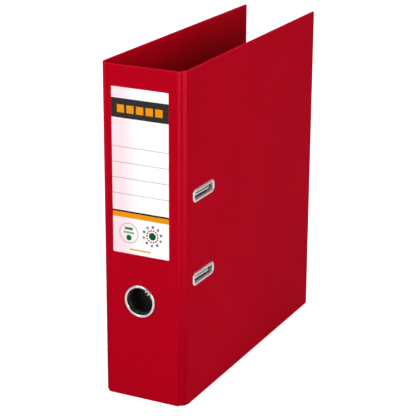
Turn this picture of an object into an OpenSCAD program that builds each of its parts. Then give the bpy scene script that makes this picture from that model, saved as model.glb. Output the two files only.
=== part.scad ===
// Lever-arch file for A4 paper: a folding board case with a locking lever mechanism.
// Axes: +Z up the spine, +X from the back cover to the front cover, +Y from the spine to the open edge.
// Origin: middle of the bottom edge of the spine, on the spine's outer face. Units are millimetres.
// The hinge strips and covers are described in their own panel axes:
// u runs along the panel away from its crease, t runs inwards from the outer face, z is up.

/* [Case] */
// Height of the case
case_h = 318; // [310:1:330]
// Depth of the case, from the spine to the open edge
case_d = 285; // [275:1:300]
// Flat width of the spine between its two creases
spine_w = 72.8; // [66:0.1:76]
// Width of each hinge strip between its two creases
strip_w = 9.5; // [8:0.1:12]
// Angle between the spine and each hinge strip when the case is shut
strip_angle = 50; // [45:1:60]
// Outward lean of the front cover
front_lean = 0.4; // [0:0.1:0.6]
// Inward lean of the back cover
back_lean = 2; // [1.6:0.1:2.2]

/* [Layers] */
// Thickness of the grey board
board_t = 2; // [1.8:0.1:2.2]
// Thickness of the outer covering paper
cover_t = 0.3; // [0.2:0.05:0.4]
// Thickness of the lining paper
lining_t = 0.2; // [0.1:0.05:0.3]
// Width of the covering turned over the inner edges
turn_in = 4; // [3:0.5:10]
// Distance from a crease line to the edge of a board
board_gap = 1.6; // [1.5:0.1:2]

/* [Label] */
// Width of the spine label
label_w = 57; // [40:1:60]
// Height of the spine label
label_h = 155; // [120:0.5:190]
// Height of the label's lower edge above the bottom
label_z = 143; // [120:1:150]
// Sideways position of the label's middle
label_x = -1.3; // [-3:0.1:3]
// Thickness of the label
label_t = 0.15; // [0.1:0.05:0.3]

/* [Finger ring] */
// Height of the finger hole above the bottom
ring_z = 98; // [60:1:110]
// Sideways position of the finger hole
ring_x = -3; // [-6:0.5:6]
// Outer diameter of the ring's flange
ring_od = 31; // [28:0.5:36]
// Diameter of the finger hole through the ring
ring_id = 26; // [22:0.5:27]
// Thickness of the ring's flanges
ring_flange_t = 0.9; // [0.6:0.1:1.2]
// Depth of the cup behind the finger hole
cup_depth = 13; // [8:1:16]

/* [Cover slots] */
// Distance between the two slots and between the two arches
hole_pitch = 80; // [80:1:80]
// Height of the middle between the slots above the middle of the case
hole_rise = 1.3; // [0:0.1:2]
// Length of a slot's opening
slot_l = 36; // [35.5:0.5:40]
// Width of a slot's opening
slot_w = 6.4; // [6.2:0.1:9]
// Width of the slot frame's flange around the opening
slot_flange = 3.1; // [2.5:0.1:4]
// Distance of the slot's middle from the spine's outer face
slot_y = 38.2; // [37.5:0.1:40]

/* [Mechanism] */
// Length of the base plate
plate_l = 158; // [150:1:165]
// Width of the base plate
plate_w = 58; // [57:1:62]
// Thickness of the base plate
plate_t = 1; // [0.8:0.1:1.2]
// Diameter of the arch wire
wire_d = 4.4; // [4:0.1:4.6]
// Distance of the arch shaft from the cover's crease
shaft_u = 6.7; // [6.5:0.1:7]
// Distance of the posts from the cover's crease
post_u = 50; // [49:0.1:50.5]
// Outer diameter of a post
post_d = 5.2; // [5:0.1:5.6]
// Bore of a post
post_bore = 3.2; // [2.8:0.1:3.4]
// Height of a post above the base plate
post_h = 44; // [40:1:46]
// Top of a post's thicker foot, above the outer face of the cover
post_foot = 9.7; // [9.5:0.1:10.5]
// Height of the arch above the cover's outer face
arch_top = 83.2; // [81:0.1:83.4]
// Height of the lever's pivot above the bottom
lever_z = 216; // [214:1:218]
// Length of the lever from its pivot to the tip of its grip
lever_l = 92; // [80:1:92]

/* [Hidden] */
$fn = 64;

red = [0.66, 0.02, 0.10];
dark_red = [0.45, 0.02, 0.06];
grey_board = [0.62, 0.58, 0.52];
nickel = [0.78, 0.77, 0.75];

wall = cover_t + board_t + lining_t;
crease_gap = 0.25;                       // from a crease line to the edge of the covering
cx = spine_w / 2 + strip_w * cos(strip_angle);  // second crease, sideways
cy = strip_w * sin(strip_angle);                // second crease, in depth
front_l = (case_d - cy) / cos(front_lean);
back_l = (case_d - cy) / cos(back_lean);
zc = case_h / 2 + hole_rise;
hole_zs = [zc - hole_pitch / 2, zc + hole_pitch / 2];
slot_u = slot_y - cy;
sleeve_t = 0.6;
fit_gap = 0.1;
label_corner = 0.8;

// places a drawing made in panel axes
module on_front_strip() translate([spine_w / 2, 0, 0]) rotate([0, 0, strip_angle]) children();
module on_front() translate([cx, cy, 0]) rotate([0, 0, 90 - front_lean]) children();
module on_back_strip() mirror([1, 0, 0]) on_front_strip() children();
module on_back() mirror([1, 0, 0]) translate([cx, cy, 0]) rotate([0, 0, 90 + back_lean]) children();

// board from u0 to u1
module board(u0, u1) translate([u0, cover_t, cover_t]) cube([u1 - u0, board_t, case_h - 2 * cover_t]);

// covering: outer skin from s0 to s1, wrapped over the board's ends, and over its free edge if there is one
module covering(s0, s1, u0, u1, free) {
  e = free ? cover_t : 0;
  union() {
    translate([s0, 0, 0]) cube([s1 - s0 + e, cover_t, case_h]);
    for (m = [0, 1]) {
      translate([u0, cover_t, m * (case_h - cover_t)]) cube([u1 - u0 + e, board_t + lining_t, cover_t]);
      translate([u0, cover_t + board_t, m == 0 ? 0 : case_h - turn_in]) cube([u1 - u0 + e, lining_t, turn_in]);
    }
    if (free) {
      translate([u1, cover_t, 0]) cube([e, board_t + lining_t, case_h]);
      translate([u1 - turn_in, cover_t + board_t, 0]) cube([turn_in + e, lining_t, case_h]);
    }
  }
}

// lining sheet, flush with the turned-in covering
module lining(u0, u1, free) translate([u0, cover_t + board_t, turn_in])
  cube([u1 - u0 - (free ? turn_in : 0), lining_t, case_h - 2 * turn_in]);

// flat shape with semicircular or rounded ends, drawn in u and z, from t0 to t1
module slot_block(l, w, r, t0, t1) translate([0, t1, 0]) rotate([90, 0, 0]) linear_extrude(t1 - t0) union() {
  square([l - 2 * r, w], center = true);
  square([l, w - 2 * r], center = true);
  for (a = [-1, 1], b = [-1, 1]) translate([a * (l / 2 - r), b * (w / 2 - r)]) circle(r);
}

module at_slots() for (z = hole_zs) translate([slot_u, 0, z]) children();
module at_rivets() for (u = [9, 55], z = [zc - 71, zc + 71]) translate([u, 0, z]) children();
module disc(r, t0, t1) translate([0, t1, 0]) rotate([90, 0, 0]) cylinder(r = r, h = t1 - t0);

// spine ---------------------------------------------------------------
module finger_hole(r) translate([ring_x, 0, ring_z]) disc(r, -5, wall + 5);
module spine_board() color(grey_board) difference() {
  board(-spine_w / 2 + board_gap, spine_w / 2 - board_gap);
  finger_hole(ring_id / 2 + sleeve_t + fit_gap);
}
module spine_covering() color(red) difference() {
  covering(-spine_w / 2 + crease_gap, spine_w / 2 - crease_gap, -spine_w / 2 + board_gap, spine_w / 2 - board_gap, false);
  finger_hole(ring_id / 2 + sleeve_t + fit_gap);
}
module spine_lining() color(dark_red) difference() {
  lining(-spine_w / 2 + board_gap, spine_w / 2 - board_gap, false);
  finger_hole(ring_id / 2 + sleeve_t + fit_gap);
}
module spine_label() color([0.97, 0.95, 0.95]) translate([label_x, 0, label_z + label_h / 2])
  slot_block(label_w, label_h, label_corner, -label_t, 0);

module finger_ring() color(nickel) translate([ring_x, 0, ring_z]) difference() {
  union() {
    // domed flange on the outside, with a flat rim
    translate([0, 0, 0]) rotate([90, 0, 0]) cylinder(r1 = ring_od / 2, r2 = ring_od / 2 - 0.5, h = ring_flange_t);
    disc(ring_id / 2 + sleeve_t, 0, wall + 0.2);
  }
  disc(ring_id / 2, -5, wall + 5);
}
module finger_ring_back() color(nickel) translate([ring_x, 0, ring_z]) difference() {
  disc(ring_od / 2, wall, wall + ring_flange_t);
  disc(ring_id / 2 + sleeve_t + 0.02, wall - 1, wall + 5);
}
module finger_cup() color([0.04, 0.04, 0.04]) translate([ring_x, 0, ring_z]) difference() {
  union() {
    disc(ring_od / 2, wall + ring_flange_t, wall + ring_flange_t + 1);
    disc(ring_id / 2 + 1.2, wall + ring_flange_t, wall + ring_flange_t + cup_depth);
  }
  disc(ring_id / 2, wall, wall + ring_flange_t + cup_depth - 1.2);
}

// front hinge strip ---------------------------------------------------
module strip_board_raw() board(board_gap, strip_w - board_gap);
module strip_covering_raw() covering(crease_gap, strip_w - crease_gap, board_gap, strip_w - board_gap, false);
module strip_lining_raw() lining(board_gap, strip_w - board_gap, false);
module front_hinge_board() color(grey_board) on_front_strip() strip_board_raw();
module front_hinge_covering() color(red) on_front_strip() strip_covering_raw();
module front_hinge_lining() color(dark_red) on_front_strip() strip_lining_raw();
module back_hinge_board() color(grey_board) on_back_strip() strip_board_raw();
module back_hinge_covering() color(red) on_back_strip() strip_covering_raw();
module back_hinge_lining() color(dark_red) on_back_strip() strip_lining_raw();

// front cover ---------------------------------------------------------
module slot_cut() at_slots() slot_block(slot_l + 2 * sleeve_t + 2 * fit_gap, slot_w + 2 * sleeve_t + 2 * fit_gap, 2.8, -5, wall + 5);
module front_board() color(grey_board) on_front() difference() { board(board_gap, front_l - cover_t); slot_cut(); }
module front_covering() color(red) on_front() difference() {
  covering(crease_gap, front_l - cover_t, board_gap, front_l - cover_t, true);
  slot_cut();
}
module front_lining() color(dark_red) on_front() difference() { lining(board_gap, front_l - cover_t, true); slot_cut(); }
module slot_frames() color(nickel) on_front() at_slots() difference() {
  union() {
    slot_block(slot_l + 2 * slot_flange, slot_w + 2 * slot_flange, 5, -0.9, 0);
    slot_block(slot_l + 2 * sleeve_t, slot_w + 2 * sleeve_t, 2.7, 0, wall + 0.2);
  }
  slot_block(slot_l, slot_w, 2.2, -5, wall + 5);
}
module slot_frame_backs() color(nickel) on_front() at_slots() difference() {
  slot_block(slot_l + 2 * slot_flange, slot_w + 2 * slot_flange, 5, wall, wall + 0.6);
  slot_block(slot_l + 2 * sleeve_t + 0.1, slot_w + 2 * sleeve_t + 0.1, 2.8, wall - 1, wall + 5);
}

// back cover ----------------------------------------------------------
rivet_r = 2;
module rivet_cut() at_rivets() disc(rivet_r + 0.05, -5, wall + 10);
module back_board() color(grey_board) on_back() difference() { board(board_gap, back_l - cover_t); rivet_cut(); }
module back_covering() color(red) on_back() difference() {
  covering(crease_gap, back_l - cover_t, board_gap, back_l - cover_t, true);
  rivet_cut();
}
module back_lining() color(dark_red) on_back() difference() { lining(board_gap, back_l - cover_t, true); rivet_cut(); }

// mechanism, in the back cover's panel axes ---------------------------
p0 = wall;                 // underside of the base plate
p1 = wall + plate_t;       // top of the base plate
wr = wire_d / 2;
shaft_t = p1 + wr + 0.8;   // height of the arch shaft
plate_u0 = 2.6;
run_gap = 0.05;

module base_plate() color(nickel) on_back() difference() {
  union() {
    translate([plate_u0 + plate_w / 2, 0, zc]) slot_block(plate_w, plate_l, 5, p0, p1);
    // two bearing ears for the arch shaft
    for (z = [126, 191]) difference() {
      union() {
        translate([shaft_u - 3.6, p1 - 0.2, z]) cube([7.2, shaft_t - p1 + 0.2, 1.5]);
        translate([shaft_u, shaft_t, z]) cylinder(r = 3.6, h = 1.5);
      }
      translate([shaft_u, shaft_t, z - 1]) cylinder(r = wr + run_gap, h = 4);
    }
    // stiffening beads pressed along the plate
    for (u = [15.5, 39.5]) translate([u - 1, p1 - 0.2, 100]) cube([2, 0.9, 118]);
  }
  rivet_cut();
  for (z = hole_zs) translate([post_u, 0, z]) disc(2, 0, p1 + 1);
  // window under the coil of the spring
  translate([shaft_u - 2.6, p0 - 1, 134.6]) cube([5.2, plate_t + 3, 9.3]);
}
module plate_rivets() color(nickel) on_back() at_rivets() union() {
  translate([0, 0, 0]) rotate([90, 0, 0]) cylinder(r1 = 4, r2 = 3, h = 0.8);
  disc(rivet_r, 0, p1 + 0.2);
  translate([0, p1 + 1.2, 0]) rotate([90, 0, 0]) cylinder(r1 = 2.4, r2 = 3.4, h = 1);
}
module rivet_washers() color(nickel) on_back() at_rivets() difference() {
  disc(4.5, p1, p1 + 0.2);
  disc(rivet_r + 0.05, 0, p1 + 1);
}
module arch_posts() color(nickel) on_back() for (z = hole_zs) translate([post_u, 0, z]) difference() {
  union() {
    disc(post_d / 2, p1, p1 + post_h);
    disc(post_d / 2 + 0.2, p1, post_foot);
    disc(4.6, p1, p1 + 0.8);
    disc(2, p0, p1);
  }
  disc(post_bore / 2, p1 + 2, p1 + post_h + 1);
}

// wire pieces: straight run along an axis, and a bend of radius r through 90 degrees
module run_t(t0, t1) translate([0, t0, 0]) rotate([-90, 0, 0]) cylinder(r = wr, h = t1 - t0);
module bend(r) rotate_extrude(angle = 90) translate([r, 0]) circle(wr);
top_t = arch_top - wr;
r_near = 17.5;
r_far = 7;
r_foot = 5;
crank_u = 27;
crank_z = [168, 186];
r_crank = 4;
tip_t = p1 + post_h + 0.3;
// one arch in the plane of u and t, from its foot to its tip
module arch() union() {
  translate([shaft_u, 0, 0]) run_t(shaft_t + r_foot, top_t - r_near);
  translate([shaft_u + r_near, top_t - r_near, 0]) rotate([0, 0, 90]) bend(r_near);
  translate([shaft_u + r_near, top_t, 0]) rotate([0, 90, 0]) cylinder(r = wr, h = post_u - shaft_u - r_near - r_far);
  translate([post_u - r_far, top_t - r_far, 0]) bend(r_far);
  translate([post_u, 0, 0]) run_t(tip_t + 1.2, top_t - r_far);
  translate([post_u, tip_t, 0]) rotate([-90, 0, 0]) cylinder(r1 = 1.7, r2 = wr, h = 1.2);
  translate([post_u, tip_t - 0.9, 0]) rotate([-90, 0, 0]) cylinder(r1 = 0.5, r2 = 1, h = 0.9);
}
// bend from the foot of an arch into the shaft
module foot() translate([shaft_u, shaft_t + r_foot, r_foot]) rotate([0, 90, 0]) rotate([0, 0, -90]) bend(r_foot);
module arch_wire() color(nickel) on_back() union() {
  translate([0, 0, hole_zs[0]]) arch();
  translate([0, 0, hole_zs[1]]) arch();
  translate([0, 0, hole_zs[0]]) foot();
  translate([0, 0, hole_zs[1]]) mirror([0, 0, 1]) foot();
  // shaft runs
  translate([shaft_u, shaft_t, hole_zs[0] + r_foot]) cylinder(r = wr, h = crank_z[0] - r_crank - hole_zs[0] - r_foot);
  translate([shaft_u, shaft_t, crank_z[1] + r_crank]) cylinder(r = wr, h = hole_zs[1] - r_foot - crank_z[1] - r_crank);
  // crank under the lever's roller
  for (m = [0, 1]) translate([0, shaft_t, m * (crank_z[0] + crank_z[1])]) mirror([0, 0, m]) {
    translate([shaft_u + r_crank, 0, crank_z[0] - r_crank]) rotate([90, 0, 0]) rotate([0, 0, 90]) bend(r_crank);
    translate([shaft_u + r_crank, 0, crank_z[0]]) rotate([0, 90, 0]) cylinder(r = wr, h = crank_u - shaft_u - 2 * r_crank);
    translate([crank_u - r_crank, 0, crank_z[0] + r_crank]) rotate([90, 0, 0]) rotate([0, 0, -90]) bend(r_crank);
  }
  translate([crank_u, shaft_t, crank_z[0] + r_crank]) cylinder(r = wr, h = crank_z[1] - crank_z[0] - 2 * r_crank);
}
// coil of the spring that swings the arches open, as close-wound rings
module arch_spring() color(nickel) on_back() {
  for (i = [0:5]) translate([shaft_u, shaft_t, 136 + i * 1.3]) rotate_extrude() translate([wr + 0.75, 0]) circle(0.6);
}

// lever ---------------------------------------------------------------
pivot_t = 14;
lever_u = crank_u;
lever_w = 12;
sheet = 1.2;
roller_r = 4;
roller_z = 177;
roller_t = shaft_t + wr + 0.15 + roller_r;
pin_r = 2;
module along_u(r, u0, u1, t, z) translate([u0, t, z]) rotate([0, 90, 0]) cylinder(r = r, h = u1 - u0);
module lever_bracket() color(nickel) on_back() difference() {
  union() {
    for (s = [-1, 1]) translate([lever_u + s * (lever_w / 2 + 0.8) - 0.6, 0, 0]) union() {
      translate([0, p1, lever_z - 7]) cube([sheet, pivot_t - p1, 14]);
      along_u(5, 0, sheet, pivot_t, lever_z);
    }
    translate([lever_u - lever_w / 2 - 0.8 - 0.6, p1, lever_z + 1]) cube([lever_w + 1.6 + 1.2, 1, 6]);
  }
  along_u(pin_r + 0.02, 0, 60, pivot_t, lever_z);
}
module lever_pivot_pin() color(nickel) on_back() union() {
  along_u(pin_r, lever_u - lever_w / 2 - 1.9, lever_u + lever_w / 2 + 1.9, pivot_t, lever_z);
  along_u(3, lever_u - lever_w / 2 - 2.9, lever_u - lever_w / 2 - 1.6, pivot_t, lever_z);
  along_u(3, lever_u + lever_w / 2 + 1.6, lever_u + lever_w / 2 + 2.9, pivot_t, lever_z);
}
// outline of the lever's sides, in z and t
lever_tip_z = lever_z - lever_l;
lever_side = [[lever_z + 4.5, pivot_t - 3], [lever_z + 4.5, pivot_t + 3.5], [lever_z + 2, pivot_t + 5.5], [lever_z - 20, 20.5],
  [lever_tip_z + 30, 23.5], [lever_tip_z + 4, 26.5], [lever_tip_z + 4, 22], [lever_tip_z + 30, 17.5],
  [roller_z - 9, 9.6], [roller_z + 6, 9.6], [lever_z - 8, pivot_t - 3.5], [lever_z, pivot_t - 4.5]];
module side_plate(u0, w) translate([u0, 0, 0]) rotate([0, -90, 0]) mirror([0, 0, 1]) linear_extrude(w) polygon(lever_side);
module lever_arm() color(nickel) on_back() difference() {
  side_plate(lever_u - lever_w / 2, lever_w);
  difference() {
    side_plate(lever_u - lever_w / 2 + sheet, lever_w - 2 * sheet);
    // web of the channel, a sheet thick under the upper edge
    intersection() {
      side_plate(lever_u - lever_w / 2 + sheet, lever_w - 2 * sheet);
      translate([0, sheet, 0]) translate([0, 0, 0]) difference() {
        translate([0, -5, lever_tip_z]) cube([60, 60, roller_z + 22 - lever_tip_z]);
        translate([0, -2 * sheet, 0]) side_plate(lever_u - lever_w, 2 * lever_w);
      }
    }
  }
  along_u(pin_r + run_gap, 0, 60, pivot_t, lever_z);
  along_u(1.52, 0, 60, roller_t, roller_z);
}
module lever_grip() color([0.05, 0.05, 0.05]) on_back() difference() {
  union() {
    intersection() {
      translate([lever_u - 8, 19.4, lever_tip_z]) cube([16, 10.2, 34]);
      translate([lever_u - 8, 24.5, lever_tip_z + 8]) rotate([0, 90, 0]) union() {
        cylinder(r = 8, h = 16);
        translate([-26, -8, 0]) cube([26, 16, 16]);
      }
    }
  }
  side_plate(lever_u - lever_w / 2 - fit_gap, lever_w + 2 * fit_gap);
}
module roller_pin() color(nickel) on_back() union() {
  along_u(1.5, lever_u - lever_w / 2 - 0.1, lever_u + lever_w / 2 + 0.1, roller_t, roller_z);
}
module roller() color([0.9, 0.9, 0.88]) on_back() difference() {
  along_u(roller_r, lever_u - 4.2, lever_u + 4.2, roller_t, roller_z);
  along_u(1.5 + run_gap, 0, 60, roller_t, roller_z);
}

// compressor bar that holds the sheets down on the posts ----------------
bar_t = 6;
bar_w = 14;
bar_l = 128;
module compressor_bar() color(nickel) on_back() difference() {
  union() {
    translate([post_u, 0, zc]) slot_block(bar_w, bar_l, 4, bar_t, bar_t + 1);
    for (s = [-1, 1]) translate([post_u + s * (bar_w / 2 - 0.5) - 0.5, bar_t, zc - bar_l / 2 + 4]) cube([1, 3.2, bar_l - 8]);
  }
  for (z = hole_zs) translate([post_u, 0, z]) disc(post_d / 2 + 0.35, 0, 20);
}
// sprung wire clips that grip the posts, one over each hole of the bar
module compressor_clips() color(nickel) on_back() for (z = hole_zs) translate([post_u, bar_t + 1.7, z]) {
  for (s = [-1, 1]) translate([s * (post_d / 2 + 1.05), 0, -9]) cylinder(r = 0.7, h = 18);
  translate([0, 0, 9]) rotate([90, 0, 0]) rotate_extrude(angle = 180) translate([post_d / 2 + 1.05, 0]) circle(0.7);
}

spine_board();
spine_covering();
spine_lining();
spine_label();
finger_ring();
finger_ring_back();
finger_cup();
front_hinge_board();
front_hinge_covering();
front_hinge_lining();
front_board();
front_covering();
front_lining();
slot_frames();
slot_frame_backs();
back_hinge_board();
back_hinge_covering();
back_hinge_lining();
back_board();
back_covering();
back_lining();
base_plate();
plate_rivets();
rivet_washers();
arch_posts();
arch_wire();
arch_spring();
lever_bracket();
lever_pivot_pin();
lever_arm();
lever_grip();
roller_pin();
roller();
compressor_bar();
compressor_clips();
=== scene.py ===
import math
import bpy
import bmesh
import numpy as np
from mathutils import Vector, Matrix


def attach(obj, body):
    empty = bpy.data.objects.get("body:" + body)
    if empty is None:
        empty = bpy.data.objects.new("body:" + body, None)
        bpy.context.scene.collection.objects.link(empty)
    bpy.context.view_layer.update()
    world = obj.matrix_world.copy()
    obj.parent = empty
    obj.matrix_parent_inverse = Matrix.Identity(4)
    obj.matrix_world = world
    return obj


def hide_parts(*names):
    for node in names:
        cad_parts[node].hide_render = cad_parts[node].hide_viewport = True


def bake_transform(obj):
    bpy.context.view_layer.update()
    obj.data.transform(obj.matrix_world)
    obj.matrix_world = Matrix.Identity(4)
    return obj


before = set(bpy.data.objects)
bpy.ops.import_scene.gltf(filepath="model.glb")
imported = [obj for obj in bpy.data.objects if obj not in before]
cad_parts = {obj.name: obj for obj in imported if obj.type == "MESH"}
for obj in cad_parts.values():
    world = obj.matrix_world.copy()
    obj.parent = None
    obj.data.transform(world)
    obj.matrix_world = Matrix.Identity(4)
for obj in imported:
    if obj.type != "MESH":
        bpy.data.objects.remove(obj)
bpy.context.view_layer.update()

# ---------------------------------------------------------------- dimensions, millimetres
H = 318.0
SW = 72.8                  # flat spine
S = 9.5                    # hinge strip
A = math.radians(50)
WALL = 2.5
LINE = 0.12                # lining, proud of the turned-in covering
R = 3.1                    # outer radius of a folded crease
C1 = (SW / 2, 0.0)
C2 = (SW / 2 + S * math.cos(A), S * math.sin(A))
LEAN = {1: -math.radians(0.4), -1: math.radians(2.0)}
DEPTH = 285.0
RING = (-3.0, 98.0)
HOLES = (120.3, 200.3)
SLOT_L, SLOT_W = 36.0, 6.4
SLOT_U = 38.2 - C2[1]
MM = 0.001


def cover_len(side):
    return (DEPTH - C2[1]) / math.cos(LEAN[side])


def panel(kind, side):
    """Origin and direction angle of a panel, drawn on the right; side -1 is mirrored later."""
    if kind == "spine":
        return (0.0, 0.0), 0.0
    if kind == "strip":
        return C1, A
    return C2, math.pi / 2 + LEAN[side]


def place(kind, side, u, t, z):
    (ox, oy), a = panel(kind, side)
    x = ox + u * math.cos(a) - t * math.sin(a)
    y = oy + u * math.sin(a) + t * math.cos(a)
    return Vector((side * x if kind != "spine" else x, y, z)) * MM


# ---------------------------------------------------------------- mesh helpers
def link(ob):
    bpy.context.scene.collection.objects.link(ob)
    return ob


def from_bm(name, bm, merge=0.0):
    if merge:
        bmesh.ops.remove_doubles(bm, verts=bm.verts[:], dist=merge)
    bmesh.ops.recalc_face_normals(bm, faces=bm.faces[:])
    me = bpy.data.meshes.new(name)
    bm.to_mesh(me)
    bm.free()
    return link(bpy.data.objects.new(name, me))


def grid(name, loops, closed_path=False, caps=True):
    """Skins a list of closed loops of points."""
    bm = bmesh.new()
    rows = [[bm.verts.new(p) for p in lp] for lp in loops]
    n = len(rows[0])
    last = len(rows) if closed_path else len(rows) - 1
    for i in range(last):
        a, b = rows[i], rows[(i + 1) % len(rows)]
        for j in range(n):
            k = (j + 1) % n
            bm.faces.new((a[j], a[k], b[k], b[j]))
    if caps and not closed_path:
        bm.faces.new(rows[0])
        bm.faces.new(rows[-1])
    return from_bm(name, bm)


def finish_piece(ob, mat, angle=35, weighted=True, body=None):
    me = ob.data
    me.materials.clear()
    me.materials.append(mat)
    me.polygons.foreach_set("use_smooth", [True] * len(me.polygons))
    me.set_sharp_from_angle(angle=math.radians(angle))
    co = np.zeros(len(me.vertices) * 3, np.float32)
    me.vertices.foreach_get("co", co)
    at = me.attributes.get("rest_co") or me.attributes.new("rest_co", "FLOAT_VECTOR", "POINT")
    at.data.foreach_set("vector", co)
    if weighted:
        w = ob.modifiers.new("weighted", "WEIGHTED_NORMAL")
        w.keep_sharp = True
        w.mode = "FACE_AREA"
        w.weight = 80
    if body:
        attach(ob, body)
    return ob


def apply_modifiers(ob):
    dg = bpy.context.evaluated_depsgraph_get()
    me = bpy.data.meshes.new_from_object(ob.evaluated_get(dg))
    old = ob.data
    ob.modifiers.clear()
    ob.data = me
    me.name = ob.name
    bpy.data.meshes.remove(old)


def cut(ob, cutters):
    for c in cutters:
        m = ob.modifiers.new("cut", "BOOLEAN")
        m.operation = "DIFFERENCE"
        m.solver = "EXACT"
        m.object = c
    apply_modifiers(ob)
    for c in cutters:
        bpy.data.objects.remove(c)
    bm = bmesh.new()
    bm.from_mesh(ob.data)
    bmesh.ops.dissolve_degenerate(bm, dist=1e-7, edges=bm.edges[:])
    bm.to_mesh(ob.data)
    bm.free()


def rr_path(l, w, r, d, n=10):
    """Rounded rectangle l by w with corner radius r, offset outwards by d: list of (u, z)."""
    pts = []
    for cx, cz, a0 in ((l / 2 - r, w / 2 - r, 0), (-l / 2 + r, w / 2 - r, 90), (-l / 2 + r, -w / 2 + r, 180), (l / 2 - r, -w / 2 + r, 270)):
        for i in range(n + 1):
            a = math.radians(a0 + 90 * i / n)
            pts.append((cx + (r + d) * math.cos(a), cz + (r + d) * math.sin(a)))
    return pts


def path_ring(name, to_world, l, w, r, profile, n=10):
    """Sweeps a closed profile of (offset outwards, height outwards) round a rounded rectangle."""
    loops = []
    for d, h in profile:
        loops.append([to_world(u, z, h) for u, z in rr_path(l, w, r, d, n)])
    return grid(name, loops + [loops[0]], caps=False)


def close_ring(ob):
    bm = bmesh.new()
    bm.from_mesh(ob.data)
    bmesh.ops.remove_doubles(bm, verts=bm.verts[:], dist=1e-7)
    bmesh.ops.recalc_face_normals(bm, faces=bm.faces[:])
    bm.to_mesh(ob.data)
    bm.free()
    return ob


def lathe_y(name, cx, cz, profile, n=96, closed=True, wave=None):
    """Turns a profile of (radius, y) round an axis along Y through (cx, cz)."""
    loops = []
    for i, (rad, y) in enumerate(profile):
        lp = []
        for k in range(n):
            a = 2 * math.pi * k / n
            rr = rad + (wave(i, a) if wave else 0)
            lp.append(Vector((cx + rr * math.cos(a), y, cz + rr * math.sin(a))) * MM)
        loops.append(lp)
    return close_ring(grid(name, loops + ([loops[0]] if closed else []), caps=not closed))


def tube(name, pts, rad, n=16, caps=True):
    """Round wire along a list of points, in metres."""
    pts = [Vector(p) for p in pts]
    loops = []
    t0 = (pts[1] - pts[0]).normalized()
    nrm = t0.orthogonal().normalized()
    for i, p in enumerate(pts):
        a = pts[max(i - 1, 0)]
        b = pts[min(i + 1, len(pts) - 1)]
        t = (b - a).normalized()
        nrm = (nrm - t * nrm.dot(t)).normalized()
        bi = t.cross(nrm)
        loops.append([p + (nrm * math.cos(2 * math.pi * k / n) + bi * math.sin(2 * math.pi * k / n)) * rad for k in range(n)])
    return grid(name, loops, caps=caps)


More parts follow.
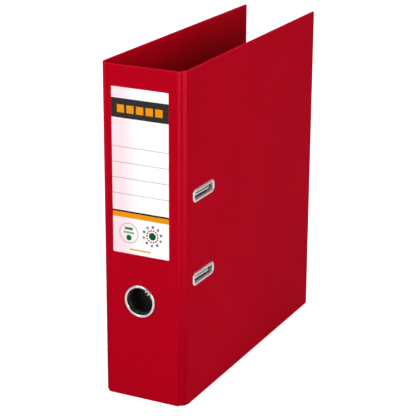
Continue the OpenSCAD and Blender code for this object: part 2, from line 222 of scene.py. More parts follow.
# ---------------------------------------------------------------- material helpers
class Mat:
    def __init__(self, name, coords="rest"):
        self.m = bpy.data.materials.new(name)
        self.m.use_nodes = True
        self.nt = self.m.node_tree
        self.nt.nodes.clear()
        out = self.nt.nodes.new("ShaderNodeOutputMaterial")
        self.b = self.nt.nodes.new("ShaderNodeBsdfPrincipled")
        self.nt.links.new(self.b.outputs[0], out.inputs[0])
        if coords == "rest":
            a = self.nt.nodes.new("ShaderNodeAttribute")
            a.attribute_name = "rest_co"
            src = a.outputs["Vector"]
        else:
            src = self.nt.nodes.new("ShaderNodeTexCoord").outputs["Object"]
        self.co = self.vmath("MULTIPLY", src, (1000, 1000, 1000))   # millimetres
        sep = self.nt.nodes.new("ShaderNodeSeparateXYZ")
        self.nt.links.new(self.co, sep.inputs[0])
        self.x, self.y, self.z = sep.outputs

    def put(self, sock, v):
        if isinstance(v, bpy.types.NodeSocket):
            self.nt.links.new(v, sock)
        elif hasattr(sock.default_value, "__len__") and not hasattr(v, "__len__"):
            sock.default_value = (v,) * len(sock.default_value)
        elif hasattr(sock.default_value, "__len__") and len(sock.default_value) == 4 and len(v) == 3:
            sock.default_value = tuple(v) + (1,)
        else:
            sock.default_value = v

    def vmath(self, op, a, b):
        n = self.nt.nodes.new("ShaderNodeVectorMath")
        n.operation = op
        self.put(n.inputs[0], a)
        self.put(n.inputs[1], b)
        return n.outputs[0]

    def math(self, op, a, b=0.0, c=0.0, clamp=False):
        n = self.nt.nodes.new("ShaderNodeMath")
        n.operation = op
        n.use_clamp = clamp
        self.put(n.inputs[0], a)
        self.put(n.inputs[1], b)
        self.put(n.inputs[2], c)
        return n.outputs[0]

    def noise(self, scale, detail=2.0, rough=0.5, co=None, stretch=None, distort=0.0):
        n = self.nt.nodes.new("ShaderNodeTexNoise")
        src = co or self.co
        if stretch:
            src = self.vmath("MULTIPLY", src, stretch)
        self.put(n.inputs["Vector"], src)
        n.inputs["Scale"].default_value = scale
        n.inputs["Detail"].default_value = detail
        n.inputs["Roughness"].default_value = rough
        n.inputs["Distortion"].default_value = distort
        return n.outputs["Fac"]

    def voronoi(self, scale, feature="F1", out="Distance"):
        n = self.nt.nodes.new("ShaderNodeTexVoronoi")
        n.feature = feature
        self.put(n.inputs["Vector"], self.co)
        n.inputs["Scale"].default_value = scale
        return n.outputs[out]

    def remap(self, v, a, b, c, d, smooth=False):
        n = self.nt.nodes.new("ShaderNodeMapRange")
        n.interpolation_type = "SMOOTHSTEP" if smooth else "LINEAR"
        self.put(n.inputs["Value"], v)
        for k, val in (("From Min", a), ("From Max", b), ("To Min", c), ("To Max", d)):
            n.inputs[k].default_value = val
        return n.outputs[0]

    def mix(self, f, a, b, blend="MIX"):
        n = self.nt.nodes.new("ShaderNodeMix")
        n.data_type = "RGBA"
        n.blend_type = blend
        self.put(n.inputs[0], f)
        self.put(n.inputs[6], a)
        self.put(n.inputs[7], b)
        return n.outputs[2]

    def bump(self, h, strength=0.3, dist=0.0001, prev=None):
        n = self.nt.nodes.new("ShaderNodeBump")
        n.inputs["Strength"].default_value = strength
        n.inputs["Distance"].default_value = dist
        self.put(n.inputs["Height"], h)
        if prev is not None:
            self.put(n.inputs["Normal"], prev)
        return n.outputs[0]

    def rect(self, a, a0, a1, b, b0, b1):
        m = self.math("MULTIPLY", self.math("GREATER_THAN", a, a0), self.math("LESS_THAN", a, a1))
        k = self.math("MULTIPLY", self.math("GREATER_THAN", b, b0), self.math("LESS_THAN", b, b1))
        return self.math("MULTIPLY", m, k)

    def dist(self, a, a0, b, b0):
        da = self.math("SUBTRACT", a, a0)
        db = self.math("SUBTRACT", b, b0)
        return self.math("SQRT", self.math("ADD", self.math("MULTIPLY", da, da), self.math("MULTIPLY", db, db)))

    def set(self, **kw):
        for k, v in kw.items():
            self.put(self.b.inputs[k.replace("_", " ")], v)
        return self.m


def lin(r, g, b):
    f = lambda c: c / 12.92 if c <= 0.04045 else ((c + 0.055) / 1.055) ** 2.4
    return tuple(f(v / 255) for v in (r, g, b))


def paper_mat(name, dark, light, edge, coords="rest", rough=0.58):
    m = Mat(name, coords)
    mottle = m.noise(0.85, 3, 0.62)
    grain = m.noise(3.4, 3, 0.6)
    fibre = m.noise(1.2, 2, 0.5, stretch=(1.0, 1.0, 0.22), distort=0.6)
    cloud = m.noise(0.016, 2, 0.5)
    f = m.math("ADD", m.math("MULTIPLY", mottle, 0.5), m.math("MULTIPLY", fibre, 0.5))
    col = m.mix(m.remap(f, 0.34, 0.66, 0.0, 1.0), dark, light)
    col = m.mix(m.remap(grain, 0.35, 0.7, 0.0, 0.35), col, m.mix(1.0, col, (1.10, 1.5, 1.25), "MULTIPLY"))
    col = m.mix(1.0, col, m.mix(m.remap(cloud, 0.3, 0.7, 0, 1), (0.95, 0.95, 0.95), (1.04, 1.04, 1.04)), "MULTIPLY")
    if edge is not None:
        # rubbed lighter along the top, bottom and free edges, where the paper is folded over the board
        top = m.remap(m.z, H - 1.5, H - 0.25, 0, 1, True)
        bot = m.remap(m.z, 1.4, 0.2, 0, 1, True)
        far = m.remap(m.y, DEPTH - 1.5, DEPTH - 0.2, 0, 1, True)
        e = m.math("MAXIMUM", m.math("MAXIMUM", top, bot), far)
        e = m.math("MULTIPLY", e, m.remap(m.noise(0.35, 3, 0.6), 0.3, 0.65, 0.35, 0.95))
        col = m.mix(e, col, edge)
    if edge is not None:
        # painted highlight: the hinge paper is lightened towards a pale red by the per-vertex hinge weight, more
        # strongly towards the top
        at = m.nt.nodes.new("ShaderNodeAttribute")
        at.attribute_name = "hinge_painted_light"
        w = m.math("MULTIPLY", at.outputs["Fac"], m.remap(m.noise(0.5, 3, 0.6, stretch=(1, 1, 0.3)), 0.3, 0.7, 0.6, 1.0))
        w = m.math("MULTIPLY", w, m.remap(m.z, 60.0, H, 0.0, 1.0))
        col = m.mix(w, col, lin(214, 30, 48))
        # painted shade: the same hinge weight darkens the paper towards the bottom
        painted_shade_low = m.math("MULTIPLY", at.outputs["Fac"], m.remap(m.z, 20.0, 220.0, 1.0, 0.0))
        col = m.mix(painted_shade_low, col, m.mix(1.0, col, (0.68, 1.1, 0.85), "MULTIPLY"))
    b1 = m.bump(m.math("ADD", m.math("MULTIPLY", grain, 0.65), m.math("MULTIPLY", mottle, 0.5)), 0.45, 0.00006)
    b2 = m.bump(m.noise(0.05, 2, 0.5), 0.10, 0.0006, b1)
    return m.set(Base_Color=col, Roughness=m.remap(grain, 0.3, 0.7, rough - 0.06, rough + 0.09), Normal=b2,
                 **{"Specular_IOR_Level": 0.010})


def metal_mat(name, base, rough, coords="object", brushed=None, smudge=0.05):
    m = Mat(name, coords)
    cloud = m.noise(0.12, 3, 0.55)
    fine = m.noise(2.2, 3, 0.65)
    scratch = m.noise(1.6, 2, 0.5, stretch=brushed or (1.0, 6.0, 6.0), distort=0.4)
    pits = m.remap(m.voronoi(1.7), 0.0, 0.16, 1.0, 0.0)
    col = m.mix(m.remap(cloud, 0.3, 0.7, 0, 1), tuple(c * 0.93 for c in base), base)
    col = m.mix(m.math("MULTIPLY", pits, 0.10), col, tuple(c * 0.55 for c in base))
    r = m.math("ADD", m.remap(cloud, 0.3, 0.7, rough - smudge, rough + smudge), m.remap(scratch, 0.4, 0.7, -0.02, 0.05))
    b1 = m.bump(m.math("ADD", m.math("MULTIPLY", scratch, 0.7), m.math("MULTIPLY", fine, 0.3)), 0.12, 0.00002)
    return m.set(Base_Color=col, Metallic=1.0, Roughness=r, Normal=b1)


def plastic_mat(name, base, rough, coords="object", spec=0.45):
    m = Mat(name, coords)
    grain = m.noise(2.6, 3, 0.6)
    spark = m.voronoi(1.1)
    cloud = m.noise(0.1, 2, 0.5)
    col = m.mix(m.remap(cloud, 0.3, 0.7, 0, 1), tuple(c * 0.86 for c in base), tuple(c * 1.1 for c in base))
    b1 = m.bump(m.math("ADD", m.math("MULTIPLY", grain, 0.5), m.math("MULTIPLY", spark, 0.5)), 0.22, 0.00005)
    return m.set(Base_Color=col, Roughness=m.remap(grain, 0.3, 0.7, rough - 0.06, rough + 0.08), Normal=b1, **{"Specular_IOR_Level": spec})


RED_D, RED_L, RED_E = lin(163, 1, 22), lin(189, 3, 31), lin(197, 12, 38)
m_cover = paper_mat("covering_paper", RED_D, RED_L, RED_E)
m_lining = paper_mat("lining_paper", lin(160, 1, 17), lin(181, 3, 24), None, rough=0.66)
m_nickel = metal_mat("nickel_plate", (0.61, 0.585, 0.575), 0.32, "rest")
m_frame = metal_mat("nickel_satin", (0.66, 0.635, 0.625), 0.34, "rest")
m_nickel_cad = metal_mat("nickel_plate_cad", (0.64, 0.615, 0.605), 0.17)
m_zinc = metal_mat("zinc_sheet", (0.66, 0.68, 0.71), 0.30, brushed=(6.0, 6.0, 0.5), smudge=0.07)
m_black = plastic_mat("black_plastic", (0.009, 0.0085, 0.0085), 0.44, spec=0.22)
m_black_rest = plastic_mat("black_plastic_grip", (0.012, 0.012, 0.013), 0.40, "rest")
m_white = plastic_mat("white_plastic", (0.78, 0.78, 0.75), 0.38)
m_spring = metal_mat("spring_steel", (0.52, 0.53, 0.55), 0.26, "rest")


def label_mat():
    m = Mat("label_print", "rest")
    x, z = m.x, m.z
    x0, x1 = -29.8, 27.2
    fibre = m.noise(1.0, 3, 0.6)
    white = m.mix(m.remap(x, -23.0, 0.0, 0.0, 1.0, True), lin(253, 224, 230), lin(255, 255, 255))
    white = m.mix(m.remap(fibre, 0.35, 0.7, 0.0, 0.06), white, (0.84, 0.83, 0.83))
    black = m.mix(m.remap(m.noise(0.6, 2, 0.5), 0.3, 0.7, 0, 1), lin(40, 38, 39), lin(50, 47, 48))
    grey, orange, blue = lin(138, 140, 142), lin(236, 148, 4), lin(12, 16, 30)
    col = m.mix(m.rect(x, x0 - 1, x1 + 1, z, 270.0, 288.0), white, black)
    # ruled writing lines
    for h in (243.4, 228.9, 214.4, 199.6):
        col = m.mix(m.math("MULTIPLY", m.rect(x, x0 - 1, x1 + 1, z, h - 0.28, h + 0.28), 0.85), col, grey)
    # orange stripe with its thin dark line
    col = m.mix(m.rect(x, x0 - 1, x1 + 1, z, 177.3, 182.2), col, orange)
    col = m.mix(m.rect(x, x0 - 1, x1 + 1, z, 182.2, 183.8), col, blue)
    # plain index squares on the black band, in place of a mark
    for i in range(5):
        cx = -20.6 + 9.6 * i
        col = m.mix(m.rect(x, cx - 3.6, cx + 3.6, z, 274.9, 282.1), col, orange)
    # plain roundel, left: a thin ring, two bars and a dot
    d = m.dist(x, -13.5, z, 162.7)
    ring = m.math("MULTIPLY", m.math("GREATER_THAN", d, 8.7), m.math("LESS_THAN", d, 9.9))
    col = m.mix(m.math("MULTIPLY", ring, 0.85), col, lin(196, 186, 172))
    col = m.mix(m.math("LESS_THAN", m.dist(x, -13.5, z, 158.4), 2.7), col, lin(20, 96, 44))
    col = m.mix(m.rect(x, -17.6, -9.4, z, 165.9, 168.3), col, lin(36, 122, 66))
    col = m.mix(m.rect(x, -19.0, -8.0, z, 162.3, 164.3), col, lin(128, 180, 148))
    # plain roundel, right: two rings of dots round a disc
    col = m.mix(m.math("LESS_THAN", m.dist(x, 10.5, z, 163.2), 3.6), col, lin(12, 84, 40))
    for i in range(14):
        a = 2 * math.pi * i / 14
        dot = m.math("LESS_THAN", m.dist(x, 10.5 + 5.6 * math.cos(a), z, 163.2 + 5.6 * math.sin(a)), 0.95)
        col = m.mix(dot, col, lin(190, 60, 72))
    for i in range(10):
        a = 2 * math.pi * (i + 0.4) / 10
        dot = m.math("LESS_THAN", m.dist(x, 10.5 + 9.0 * math.cos(a), z, 163.2 + 9.0 * math.sin(a)), 1.35)
        col = m.mix(dot, col, (lin(92, 92, 140), lin(150, 140, 96))[i % 2])
    # thin orange bar along the foot
    col = m.mix(m.rect(x, -13.0, 8.8, z, 146.7, 148.3), col, lin(240, 172, 60))
    b1 = m.bump(m.noise(3.0, 3, 0.6), 0.18, 0.00003)
    return m.set(Base_Color=col, Roughness=m.remap(fibre, 0.3, 0.7, 0.40, 0.50), Normal=b1, **{"Specular_IOR_Level": 0.06})


m_label = label_mat()

# ---------------------------------------------------------------- case: wrapped board, lining
def ring_loop(d, r, t_out, t_in, lift=0.0, z0=0.0, z1=H, ksegs=6, arc=5):
    """Cross-section of a panel in (t, z), inset by d, with corners of radius r."""
    rho = max(r - d, 0.02)
    lo_t, hi_t, lo_z, hi_z = t_out + d, t_in - d, z0 + d, z1 - d
    pts = []
    for i in range(ksegs + 1):
        pts.append((lo_t, lo_z + rho + (hi_z - lo_z - 2 * rho) * i / ksegs))
    for i in range(1, arc):
        a = math.radians(180 - 90 * i / arc)
        pts.append((lo_t + rho + rho * math.cos(a), hi_z - rho + rho * math.sin(a)))
    pts.append((lo_t + rho, hi_z))
    pts.append((hi_t - rho, hi_z))
    for i in range(1, arc):
        a = math.radians(90 - 90 * i / arc)
        pts.append((hi_t - rho + rho * math.cos(a), hi_z - rho + rho * math.sin(a)))
    for i in range(ksegs + 1):
        pts.append((hi_t, hi_z - rho - (hi_z - lo_z - 2 * rho) * i / ksegs))
    for i in range(1, arc):
        a = math.radians(0 - 90 * i / arc)
        pts.append((hi_t - rho + rho * math.cos(a), lo_z + rho + rho * math.sin(a)))
    pts.append((hi_t - rho, lo_z))
    pts.append((lo_t + rho, lo_z))
    for i in range(1, arc):
        a = math.radians(-90 - 90 * i / arc)
        pts.append((lo_t + rho + rho * math.cos(a), lo_z + rho + rho * math.sin(a)))
    mid = (t_out + t_in) / 2
    return [(t - (lift if t < mid else 0.0), z) for t, z in pts]


def stations(side):
    """Outer path of one side: spine, crease arc, strip, crease arc. Each is (kind, s, x, y, nx, ny, lift)."""
    out = {"a": [], "b": []}
    a0, a1 = 0.0, A
    tl = R * math.tan((a1 - a0) / 2)
    cen = (C1[0] - tl, R)
    for x in (30.0, 31.5, 33.0, 34.0):
        if x < C1[0] - tl - 0.2:
            out["a"].append((x, 0.0, 0.0, 1.0, ridge(x - C1[0]), 0.0, x - C1[0]))
    for i in range(13):
        p = a0 + (a1 - a0) * i / 12
        n = (-math.sin(p), math.cos(p))
        s = tl * (2 * i / 12 - 1)
        out["a"].append((cen[0] - n[0] * R, cen[1] - n[1] * R, n[0], n[1], ridge(s), 0.0, s))
    n = (-math.sin(A), math.cos(A))
    for u in (1.75, 2.1, 2.45, 2.8, 3.15, 3.5, 3.85, 4.2, 4.5, 4.75):
        out["a"].append((C1[0] + u * math.cos(A), C1[1] + u * math.sin(A), n[0], n[1], ridge(u), 0.0, u))
    a2 = math.pi / 2 + LEAN[side]
    tl2 = R * math.tan((a2 - A) / 2)
    for u in (4.75, 5.2, 5.7, 6.2, 6.7, 7.2, 7.7):
        if u < S - tl2 - 0.2:
            out["b"].append((C1[0] + u * math.cos(A), C1[1] + u * math.sin(A), n[0], n[1], ridge(u), 0.0, u))
    cen2 = (C2[0] - tl2 * math.cos(A) + n[0] * R, C2[1] - tl2 * math.sin(A) + n[1] * R)
    for i in range(13):
        p = A + (a2 - A) * i / 12
        m = (-math.sin(p), math.cos(p))
        s = S + tl2 * (2 * i / 12 - 1)
        out["b"].append((cen2[0] - m[0] * R, cen2[1] - m[1] * R, m[0], m[1], ridge(s), 0.0, s))
    m = (-math.sin(a2), math.cos(a2))
    for u in (1.6, 2.0, 2.4, 2.9, 3.5, 4.3, 5.4, 7.0, 9.0):
        out["b"].append((C2[0] + u * math.cos(a2), C2[1] + u * math.sin(a2), m[0], m[1], ridge(S + u), 0.0, S + u))
    return out


def ridge(s):
    """How far the outer skin stands out along the hinge: a soft bead past the first crease, a pressed groove, a shallow hollow at the second."""
    return 0.36 * math.exp(-((s - 1.4) / 1.2) ** 2) - 0.20 * math.exp(-((s - 3.7) / 1.0) ** 2) + 0.22 * math.exp(-((s - 6.6) / 1.6) ** 2) \
        - 0.30 * math.exp(-((s - 9.8) / 1.1) ** 2) - 0.10 * math.exp(-((s - 12.4) / 0.9) ** 2) - 0.12 * math.exp(-((s + 1.9) / 0.7) ** 2)


def hinge_painted_light(s):
    """Weight of a painted sheen along the hinge: where the paper colour is lightened to stand in for a highlight on the
    fold.
    """
    k = min(max((s - 3.9) / 1.2, 0.0), 1.0) * min(max((9.0 - s) / 1.2, 0.0), 1.0)
    return min(1.0, 0.78 * math.exp(-((s - 1.1) / 1.35) ** 2) + 0.66 * k)


def dip(s):
    """How far the paper's top and bottom edges draw in where there is no board behind them."""
    return 0.75 * math.exp(-((s - 1.6) / 1.15) ** 2) + 0.35 * math.exp(-((s - 10.2) / 0.8) ** 2)


def skin(name, side, sts, t_out, t_in, r, z0, z1, ends=None, lift=True):
    loops = []
    for st in sts:
        x, y, nx, ny, lf = st[:5]
        d = st[5] if len(st) > 5 else 0.0
        dz = dip(st[6]) if len(st) > 6 and lift else 0.0
        lp = ring_loop(d, r, t_out, t_in, lf if lift else 0.0, z0 + dz, z1 - dz)
        loops.append([Vector((side * (x + nx * t), y + ny * t, z)) * MM for t, z in lp])
    ob = grid(name, loops)
    # per-vertex weight of the painted hinge highlight, on the outer face only
    if lift and len(sts[0]) > 6:
        n = len(loops[0])
        val = []
        for st in sts:
            w = hinge_painted_light(st[6])
            val += [w if t < (t_out + t_in) / 2 else 0.0 for t, z in ring_loop(0.0, r, t_out, t_in, 0.0, z0, z1)]
        ob.data.attributes.new("hinge_painted_light", "FLOAT", "POINT").data.foreach_set("value", val)
    return ob


def spine_stations():
    return [(x, 0.0, 0.0, 1.0, 0.0) for x in np.linspace(-30, 30, 9)]


def cover_stations(side, u0, length, r=0.9, rounded=True):
    (ox, oy), a = panel("cover", side)
    n = (-math.sin(a), math.cos(a))
    out = []
    us = [u0] + [u0 + (length - r - u0) * i / 12 for i in range(1, 13)]
    for u in us:
        out.append((ox + u * math.cos(a), oy + u * math.sin(a), n[0], n[1], 0.0, 0.0))
    if rounded:
        for i in range(1, 6):
            p = math.radians(90 * i / 5)
            u = length - r + r * math.sin(p)
            out.append((ox + u * math.cos(a), oy + u * math.sin(a), n[0], n[1], 0.0, min(r * (1 - math.cos(p)), r - 0.02)))
    return out


def disc_cutter(cx, cz, rad):
    bm = bmesh.new()
    bmesh.ops.create_cone(bm, cap_ends=True, segments=96, radius1=rad * MM, radius2=rad * MM, depth=0.02,
                          matrix=Matrix.Translation((cx * MM, 0.0013, cz * MM)) @ Matrix.Rotation(math.pi / 2, 4, "X"))
    return from_bm("cutter", bm)


def slot_cutter(zc, extra):
    l, w, r = SLOT_L + 2 * extra, SLOT_W + 2 * extra, 2.0 + extra
    loops = [[place("cover", 1, SLOT_U + u, t, zc + z) for u, z in rr_path(l, w, r, 0)] for t in (-6, 8)]
    return grid("cutter", loops)


spine_ = skin("case_spine", 1, spine_stations(), 0, WALL, 0.9, 0, H)
cut(spine_, [disc_cutter(RING[0], RING[1], 13.7)])
finish_piece(spine_, m_cover, body="spine")
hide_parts("spine_board", "spine_covering")

lsp = skin("lining_spine", 1, spine_stations(), WALL - 0.05, WALL + LINE, 0.04, 4, H - 4)
cut(lsp, [disc_cutter(RING[0], RING[1], 13.7)])
finish_piece(lsp, m_lining, body="spine")
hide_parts("spine_lining")

for side, tag in ((1, "front"), (-1, "back")):
    strip, cover = tag + "_hinge_strip", tag + "_cover"
    st = stations(side)
    for part, t_out, t_in, r, z0, z1, mat, sl, nodes in (
        ("case", 0.0, WALL, 0.9, 0, H, m_cover, "cover_red", (tag + "_hinge_board", tag + "_hinge_covering")),
        ("lining", WALL - 0.05, WALL + LINE, 0.04, 4, H - 4, m_lining, "lining_red", (tag + "_hinge_lining",)),
    ):
        pa = skin(f"{part}_{tag}_fold_a", side, st["a"], t_out, t_in, r, z0, z1, lift=part == "case")
        finish_piece(pa, mat)
        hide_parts(*nodes)
        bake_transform(pa)
        pb = skin(f"{part}_{tag}_fold_b", side, st["b"], t_out, t_in, r, z0, z1, lift=part == "case")
        finish_piece(pb, mat)
        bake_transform(pb)
    big = skin(f"case_{tag}_cover", side, cover_stations(side, 9.0, cover_len(side)), 0, WALL, 0.9, 0, H)
    inner = skin(f"lining_{tag}_cover", side, cover_stations(side, 9.0, cover_len(side) - 4, rounded=False), WALL - 0.05, WALL + LINE, 0.04, 4, H - 4)
    if side == 1:
        cut(big, [slot_cutter(z, 0.75) for z in HOLES])
        cut(inner, [slot_cutter(z, 0.75) for z in HOLES])
    finish_piece(big, m_cover, body=cover)
    finish_piece(inner, m_lining, body=cover)
    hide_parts(tag + "_board", tag + "_covering")
    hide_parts(tag + "_lining")

# ---------------------------------------------------------------- label
lz0, lh, lx, lw = 143.0, 155.0, -1.3, 57.0
loops = []
for d, y in ((0.0, 0.0), (0.0, -0.10), (-0.05, -0.15)):
    loops.append([Vector((lx + u, y, lz0 + lh / 2 + z)) * MM for u, z in rr_path(lw, lh, 0.8, d, 5)])
label = grid("label_sheet", loops)
finish_piece(label, m_label, angle=60, body="spine")
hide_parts("spine_label")

# ---------------------------------------------------------------- finger ring and slot frames
prof = [(13.0, 3.3), (12.95, 2.4), (13.0, 1.2), (13.0, 0.0), (13.06, -0.42), (13.28, -0.84), (13.65, -1.12), (14.1, -1.24),
        (14.6, -1.20), (15.05, -1.02), (15.4, -0.74), (15.58, -0.42), (15.5, -0.24), (15.2, -0.16), (13.62, -0.12), (13.62, 3.3)]
TONGUES = ((44, 6.0, 3.6), (60, 5.0, 3.1), (24, 3.6, 2.6), (110, 5, 0.9), (160, 5, 0.9), (205, 5, 0.9), (250, 5, 0.9), (300, 5, 0.9), (338, 5, 0.9))


def tongue(i, a):
    """Short tongues of the eyelet's tube, turned in towards the hole."""
    if i > 2:
        return 0.0
    d = math.degrees(a)
    v = 0.0
    for c, w, h in TONGUES:
        e = min(abs(d - c), 360 - abs(d - c)) / w
        v = max(v, h * max(0.0, 1 - e ** 4))
    return -v * (1.0, 0.92, 0.24)[i]


ring = lathe_y("finger_ring_eyelet", RING[0], RING[1], prof, n=180, wave=tongue)
# the three long tongues lie flat, square to the hole
for v in ring.data.vertices:
    dx, dz = v.co.x - RING[0] * MM, v.co.z - RING[1] * MM
    if v.co.y < 0.0013 or math.hypot(dx, dz) > 13.05 * MM:
        continue
    d = math.degrees(math.atan2(dz, dx))
    flat = max([0.0] + [1 - min(1.0, abs(d - c) / w) ** 4 for c, w, h in TONGUES[:3]])
    v.co.y -= (v.co.y - 0.0013) * 0.92 * flat
# the flange stands a little off the paper at its lower right
for v in ring.data.vertices:
    if v.co.y < -0.00014:
        dx, dz = v.co.x - RING[0] * MM, v.co.z - RING[1] * MM
        out = max(0.0, (math.hypot(dx, dz) / MM - 13.3) / 2.2)
        v.co.y -= 0.0005 * out * max(0.0, (dx * 0.86 - dz * 0.51) / (15.5 * MM)) ** 1.5
finish_piece(ring, m_nickel, angle=50, body="spine")
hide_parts("finger_ring")

rim = lathe_y("finger_cup_rim", RING[0], RING[1], [(12.55 + 0.35 * math.cos(2 * math.pi * k / 10), 4.2 + 0.45 * math.sin(2 * math.pi * k / 10)) for k in range(10)], n=96)
finish_piece(rim, m_black_rest, angle=60, body="spine")

for k, z in enumerate(HOLES):
    prof = [(0.0, -3.1), (0.0, -0.25), (0.04, 0.02), (0.14, 0.30), (0.36, 0.56), (0.80, 0.76), (1.35, 0.84), (1.90, 0.80), (2.35, 0.66), (2.75, 0.42),
            (3.0, 0.18), (3.1, 0.02), (3.05, -0.02), (0.6, -0.02), (0.6, -3.1)]
    fr = path_ring(f"slot_frame_{'lower' if k == 0 else 'upper'}", lambda u, zz, h, z=z: place("cover", 1, SLOT_U + u, -h, z + zz),
                   SLOT_L, SLOT_W, 2.0, prof, n=12)
    close_ring(fr)
    finish_piece(fr, m_frame, angle=50, body="front_cover")
    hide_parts("slot_frames")

# ---------------------------------------------------------------- mechanism pieces that need more than their CAD solid
def mech(u, t, z):
    return place("cover", -1, u, t, z)


WR = 2.2
SH_U, SH_T = 6.7, WALL + 1 + WR + 0.8
# spring: a real coil round the shaft, with both legs lying along the plate
pts = [mech(17.0, 4.3, 133.6), mech(12.0, 4.3, 133.6)]
rad = WR + 0.75
turns, n = 6.5, 26
a0 = -math.pi / 2
for i in range(int(turns * n) + 1):
    a = a0 - 2 * math.pi * i / n
    pts.append(mech(SH_U + rad * math.cos(a), SH_T + rad * math.sin(a), 134.2 + 1.28 * i / n))
pts += [mech(11.0, SH_T + rad - 0.4, 142.6), mech(18.0, SH_T + rad - 1.2, 142.6)]
spring = tube("spring_coil", pts, 0.55 * MM, 10)
finish_piece(spring, m_spring, angle=60, weighted=False, body="back_cover")
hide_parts("arch_spring")

# grip: moulded sleeve with finger ribs and a domed end
loops = []
gz0, gz1, gu = 124.0, 158.0, 27.0
for i in range(41):
    f = i / 40
    z = gz0 + (gz1 - gz0) * f
    end = min(1.0, (f / 0.16)) if f < 0.16 else 1.0
    end = math.sqrt(max(0.0, 1 - (1 - end) ** 2)) if f < 0.16 else 1.0
    back = 1.0 - 0.30 * max(0.0, (f - 0.90) / 0.10) ** 2
    rib = 0.35 * math.cos(2 * math.pi * (f * 9)) * (1 if 0.2 < f < 0.85 else 0)
    hw = (8.0 - 1.0 * f) * max(end, 0.12) * back
    ht = (5.0 + rib - 0.5 * f) * max(end, 0.12) * back
    tc = 24.6 - 2.2 * f
    lp = []
    for k in range(32):
        a = 2 * math.pi * k / 32
        ca, sa = math.cos(a), math.sin(a)
        pw = 2 / 3.2
        lp.append(mech(gu + hw * math.copysign(abs(ca) ** pw, ca), tc + ht * math.copysign(abs(sa) ** pw, sa), z))
    loops.append(lp)
grip = grid("grip_sleeve", loops)
finish_piece(grip, m_black_rest, angle=50, weighted=False, body="lever")
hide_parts("lever_grip")

# ---------------------------------------------------------------- materials and eased edges on the CAD nodes that stay
CAD_LOOK = {
    "finger_ring_back": (m_nickel_cad, 0.2), "finger_cup": (m_black, 0.5), "slot_frame_backs": (m_nickel_cad, 0.15),
    "base_plate": (m_zinc, 0.18), "plate_rivets": (m_nickel_cad, 0.25), "rivet_washers": (m_nickel_cad, 0.0),
    "arch_posts": (m_nickel_cad, 0.25), "arch_wire": (m_nickel_cad, 0.0), "lever_bracket": (m_zinc, 0.2),
    "lever_pivot_pin": (m_nickel_cad, 0.3), "lever_arm": (m_zinc, 0.25), "roller_pin": (m_nickel_cad, 0.2),
    "roller": (m_white, 0.4), "compressor_bar": (m_zinc, 0.2), "compressor_clips": (m_nickel_cad, 0.0),
}
for name, (mat, bev) in CAD_LOOK.items():
    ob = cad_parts[name]
    if not ob.material_slots:
        ob.data.materials.append(mat)
    for s in ob.material_slots:
        s.link = "OBJECT"
        s.material = mat
    w = ob.modifiers.new("weld", "WELD")
    w.merge_threshold = 2e-6
    if bev:
        if name in ("base_plate", "lever_arm", "lever_bracket"):
            dc = ob.modifiers.new("planar", "DECIMATE")
            dc.decimate_type = "DISSOLVE"
            dc.angle_limit = math.radians(0.6)
        b = ob.modifiers.new("bevel", "BEVEL")
        b.width = bev * MM
        b.segments = 2
        b.limit_method = "ANGLE"
        b.angle_limit = math.radians(40)
        b.use_clamp_overlap = True
    wn = ob.modifiers.new("weighted", "WEIGHTED_NORMAL")
    wn.keep_sharp = False
    wn.weight = 70

# ---------------------------------------------------------------- stage, light, camera
bpy.ops.mesh.primitive_plane_add(size=8, location=(0, 0, -0.0002))
floor = bpy.context.active_object
floor.name = "floor"
fm = Mat("floor_paper", "object")
flight = fm.nt.nodes.new("ShaderNodeLightPath").outputs
flp = fm.math("MAXIMUM", flight["Is Camera Ray"], flight["Is Glossy Ray"])
fm.set(Base_Color=fm.mix(flp, (0.50, 0.50, 0.50), (0.96, 0.96, 0.96)), Roughness=0.8, Emission_Color=(1, 1, 1),
       Emission_Strength=fm.math("ADD", fm.math("MULTIPLY", flight["Is Camera Ray"], 0.62), fm.math("MULTIPLY", flight["Is Glossy Ray"], 0.20)), **{"Specular_IOR_Level": 0.1})
floor.data.materials.append(fm.m)

scene = bpy.context.scene
world = bpy.data.worlds.new("studio")
scene.world = world
world.use_nodes = True
wt = world.node_tree
wt.nodes.clear()
wo = wt.nodes.new("ShaderNodeOutputWorld")
mixs = wt.nodes.new("ShaderNodeMixShader")
lp = wt.nodes.new("ShaderNodeLightPath")
bg_cam = wt.nodes.new("ShaderNodeBackground")
bg_cam.inputs[0].default_value = (1, 1, 1, 1)
bg_cam.inputs[1].default_value = 1.0
bg_env = wt.nodes.new("ShaderNodeBackground")
tc = wt.nodes.new("ShaderNodeTexCoord")
sp = wt.nodes.new("ShaderNodeSeparateXYZ")
rp = wt.nodes.new("ShaderNodeValToRGB")
rp.color_ramp.elements[0].position = 0.30
rp.color_ramp.elements[0].color = (0.35, 0.35, 0.36, 1)
rp.color_ramp.elements[1].position = 0.85
rp.color_ramp.elements[1].color = (1.0, 1.0, 1.0, 1)
e = rp.color_ramp.elements.new(0.52)
e.color = (0.10, 0.10, 0.105, 1)
mr = wt.nodes.new("ShaderNodeMapRange")
mr.inputs["From Min"].default_value = -1
mr.inputs["From Max"].default_value = 1
wt.links.new(tc.outputs["Generated"], sp.inputs[0])
wt.links.new(sp.outputs[2], mr.inputs["Value"])
wt.links.new(mr.outputs[0], rp.inputs[0])
wt.links.new(rp.outputs[0], bg_env.inputs[0])
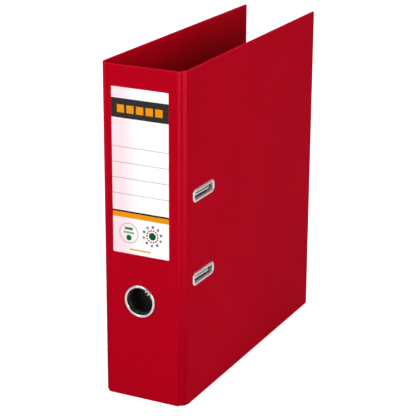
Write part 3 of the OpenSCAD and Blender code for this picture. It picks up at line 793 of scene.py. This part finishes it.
bg_env.inputs[1].default_value = 0.50
wt.links.new(lp.outputs["Is Camera Ray"], mixs.inputs[0])
wt.links.new(bg_env.outputs[0], mixs.inputs[1])
wt.links.new(bg_cam.outputs[0], mixs.inputs[2])
wt.links.new(mixs.outputs[0], wo.inputs[0])


def area(name, loc, target, size, energy, size_y=None):
    d = bpy.data.lights.new(name, "AREA")
    d.shape = "RECTANGLE"
    d.size = size
    d.size_y = size_y or size
    d.energy = energy
    o = link(bpy.data.objects.new(name, d))
    o.location = loc
    o.rotation_euler = (Vector(target) - Vector(loc)).to_track_quat("-Z", "Y").to_euler()
    return o


area("key", (-0.60, -1.20, 1.05), (-0.02, 0.0, 0.22), 0.8, 14.9)
area("side", (1.35, -0.75, 0.59), (0.04, 0.05, 0.20), 0.6, 12.3)
area("rear_side", (1.3, 0.70, 0.8), (0.04, 0.2, 0.16), 0.8, 3.0)
area("top", (0.1, 0.3, 2.2), (0.0, 0.12, 0.1), 1.4, 5)
area("back_fill", (-0.5, 1.9, 0.9), (0.0, 0.12, 0.16), 1.2, 2)


cam_d = bpy.data.cameras.new("camera")
cam = link(bpy.data.objects.new("camera", cam_d))
F_PX, AZ, EL, ROLL, CC = 1575.617, 26.110, 19.112, 0.328, (0.638921, -1.169321, 0.650428)
a, e_, r_ = math.radians(AZ), math.radians(EL), math.radians(ROLL)
back = Vector((math.sin(a) * math.cos(e_), -math.cos(a) * math.cos(e_), math.sin(e_)))
right = Vector((math.cos(a), math.sin(a), 0))
up = back.cross(right)
right2 = right * math.cos(r_) + up * math.sin(r_)
up2 = -right * math.sin(r_) + up * math.cos(r_)
cam.matrix_world = Matrix(((right2.x, up2.x, back.x, CC[0]), (right2.y, up2.y, back.y, CC[1]), (right2.z, up2.z, back.z, CC[2]), (0, 0, 0, 1)))
cam_d.sensor_width = 36
cam_d.lens = F_PX / 416 * 36
cam_d.clip_start = 0.01
scene.camera = cam
scene.view_settings.view_transform = "Standard"
scene.view_settings.look = "None"
